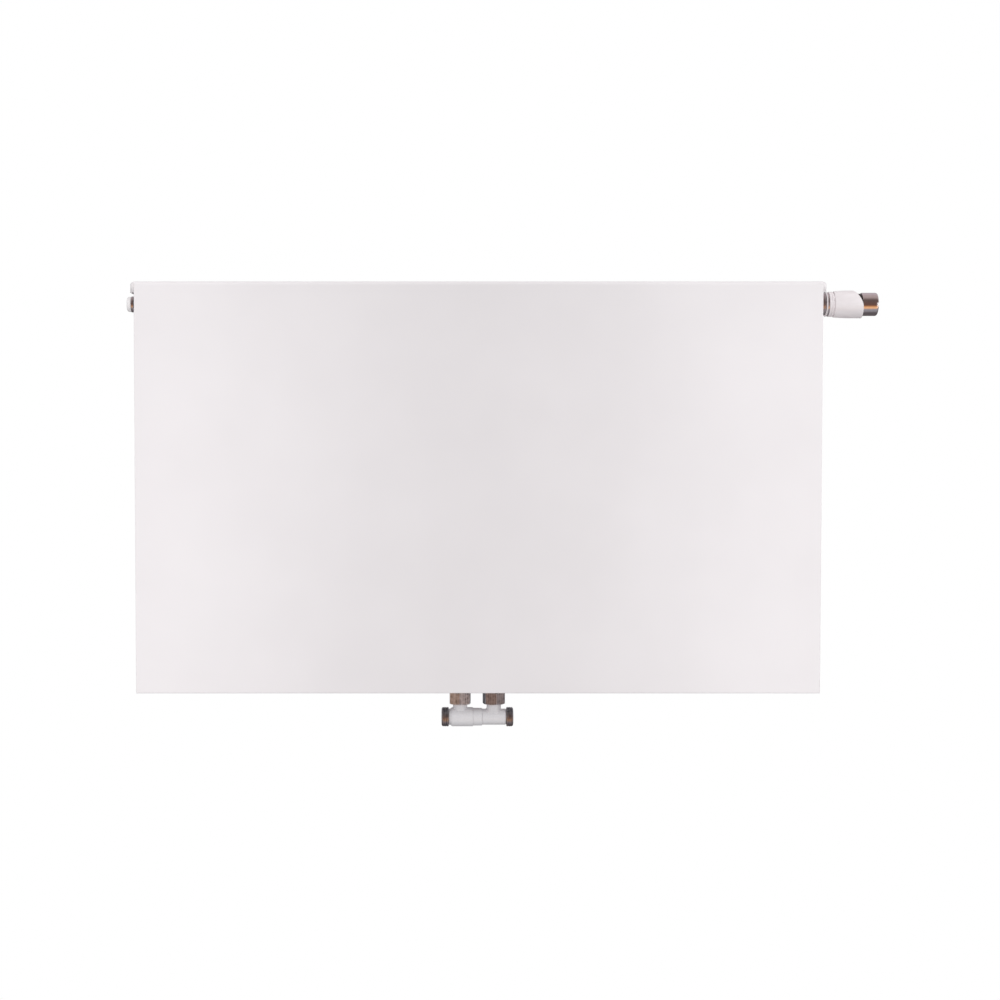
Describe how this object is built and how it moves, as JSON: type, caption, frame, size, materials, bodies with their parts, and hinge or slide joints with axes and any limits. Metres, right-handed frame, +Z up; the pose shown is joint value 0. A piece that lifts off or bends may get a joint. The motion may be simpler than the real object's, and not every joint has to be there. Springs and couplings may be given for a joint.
{
  "type": "radiator with valve",
  "caption": "Flat-fronted steel panel radiator with a thermostatic valve head at the side, an air vent and a shut-off block under its centre.",
  "frame": {"origin": "on the plane of the hanging lugs' rear faces, on the centre line between the two connections, level with the lower edge of the front sheet", "axes": "+X to the right seen from the front, along the radiator's length; +Y back to the wall; +Z up"},
  "size_m": [1.1059, 0.112, 0.6558],
  "materials": {
    "radiator_white": "semi-gloss white powder coat",
    "block_white": "satin white lacquer on brass",
    "white_plastic": "satin white moulded plastic",
    "chrome": "bright chrome plate",
    "nickel": "nickel plate over turned brass",
    "brass": "turned brass",
    "black_rubber": "matt black rubber",
    "spring_steel": "drawn stainless steel",
    "aluminium": "drawn aluminium",
    "black_plastic": "black moulded plastic"
  },
  "bodies": {
    "radiator": {"blind_plug_left": "nickel", "blind_plug_right": "nickel", "block_left": "block_white", "block_link": "block_white", "block_right": "block_white", "centre_block": "radiator_white", "flow_nipple": "brass", "front_convector": "radiator_white", "front_sheet": "radiator_white", "front_shell_inner": "radiator_white", "front_shell_outer": "radiator_white", "gland_left": "brass", "gland_right": "brass", "head_base": "white_plastic", "head_nut": "nickel", "head_ring": "chrome", "head_spring": "spring_steel", "lug_bottom_left": "radiator_white", "lug_bottom_right": "radiator_white", "lug_top_left": "radiator_white", "lug_top_right": "radiator_white", "nipple_seal_left": "black_rubber", "nipple_seal_right": "black_rubber", "rear_convector": "radiator_white", "rear_shell_inner": "radiator_white", "rear_shell_outer": "radiator_white", "return_nipple": "brass", "side_cover_left": "radiator_white", "side_cover_right": "radiator_white", "supply_pipe": "radiator_white", "tee_bottom_left": "radiator_white", "tee_bottom_right": "radiator_white", "tee_top_left": "radiator_white", "union_nut_left": "nickel", "union_nut_right": "nickel", "valve_housing": "radiator_white", "valve_insert": "nickel", "valve_spring": "spring_steel", "vent_body": "nickel", "vent_seal": "black_rubber"},
    "grille": {"top_grille": "radiator_white"},
    "head_knob": {"head_sleeve": "white_plastic", "head_core": "black_plastic", "head_knob": "chrome"},
    "sensor": {"sensor_capsule": "aluminium", "push_rod": "brass"},
    "valve_stem": {"valve_pin": "spring_steel", "valve_disc": "black_rubber"},
    "vent_spout": {"vent_spout": "white_plastic"},
    "vent_screw": {"vent_screw": "brass"},
    "shut_off_left": {"shut_off_ball_left": "nickel"},
    "shut_off_right": {"shut_off_ball_right": "nickel"},
    "cap_left": {"stem_cap_left": "nickel"},
    "cap_right": {"stem_cap_right": "nickel"}
  },
  "joints": [
    {"name": "knob_turn", "type": "hinge", "parent": "radiator", "child": "head_knob", "pos_m": [0.56, -0.0615, 0.57], "axis": [1, 0, 0], "range_deg": [-150, 120]},
    {"name": "sensor_travel", "type": "slide", "parent": "radiator", "child": "sensor", "axis": [1, 0, 0], "range_m": [-0.0018, 0.0015], "deforming": ["head_spring"]},
    {"name": "valve_travel", "type": "slide", "parent": "radiator", "child": "valve_stem", "axis": [1, 0, 0], "range_m": [-0.0018, 0.0015], "deforming": ["valve_spring"]},
    {"name": "grille_lift", "type": "slide", "parent": "radiator", "child": "grille", "axis": [0, 0, 1], "range_m": [0, 0.05]},
    {"name": "vent_screw_turn", "type": "hinge", "parent": "radiator", "child": "vent_screw", "pos_m": [-0.508, -0.0615, 0.57], "axis": [-1, 0, 0], "range_deg": [0, 360]},
    {"name": "vent_spout_turn", "type": "hinge", "parent": "radiator", "child": "vent_spout", "pos_m": [-0.5133, -0.0615, 0.57], "axis": [-1, 0, 0], "continuous": true},
    {"name": "shut_off_left_turn", "type": "hinge", "parent": "radiator", "child": "shut_off_left", "pos_m": [-0.025, -0.0615, -0.0415], "axis": [1, 0, 0], "range_deg": [0, 90]},
    {"name": "shut_off_right_turn", "type": "hinge", "parent": "radiator", "child": "shut_off_right", "pos_m": [0.025, -0.0615, -0.0415], "axis": [1, 0, 0], "range_deg": [0, 90]},
    {"name": "cap_left_off", "type": "slide", "parent": "radiator", "child": "cap_left", "axis": [-1, 0, 0], "range_m": [0, 0.03]},
    {"name": "cap_right_off", "type": "slide", "parent": "radiator", "child": "cap_right", "axis": [1, 0, 0], "range_m": [0, 0.03]}
  ],
  "couplings": [
    {"joint": "sensor_travel", "follows": "knob_turn", "m_per_rad": 0.00063662},
    {"joint": "valve_travel", "follows": "knob_turn", "m_per_rad": 0.00063662}
  ]
}
